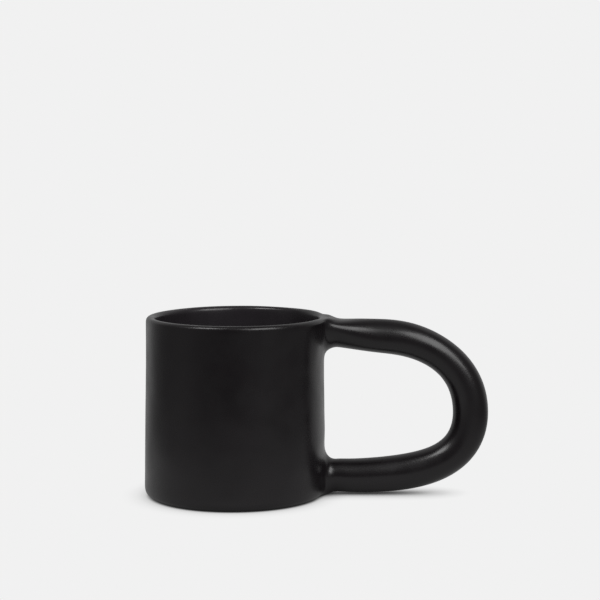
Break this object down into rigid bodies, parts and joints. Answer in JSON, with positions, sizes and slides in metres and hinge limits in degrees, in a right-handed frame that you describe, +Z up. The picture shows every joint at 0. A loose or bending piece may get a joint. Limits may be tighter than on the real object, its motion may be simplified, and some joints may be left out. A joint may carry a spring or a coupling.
{
  "type": "mug",
  "caption": "Straight black glazed mug with a rounded lip and base edge and one thick round loop handle blended into the wall.",
  "frame": {"origin": "on the cup's axis, in the plane of the foot ring that the mug stands on", "axes": "+Z up along the cup's axis to the open mouth; +X from the axis towards the handle; the handle lies in the XZ plane"},
  "size_m": [0.1655, 0.0874, 0.0866],
  "materials": {
    "black_glaze": "satin black glaze"
  },
  "bodies": {
    "root": {"cup_wall": "black_glaze", "cup_floor": "black_glaze", "floor_seam_coil": "black_glaze", "handle": "black_glaze", "upper_handle_collar": "black_glaze", "lower_handle_collar": "black_glaze"}
  },
  "joints": []
}
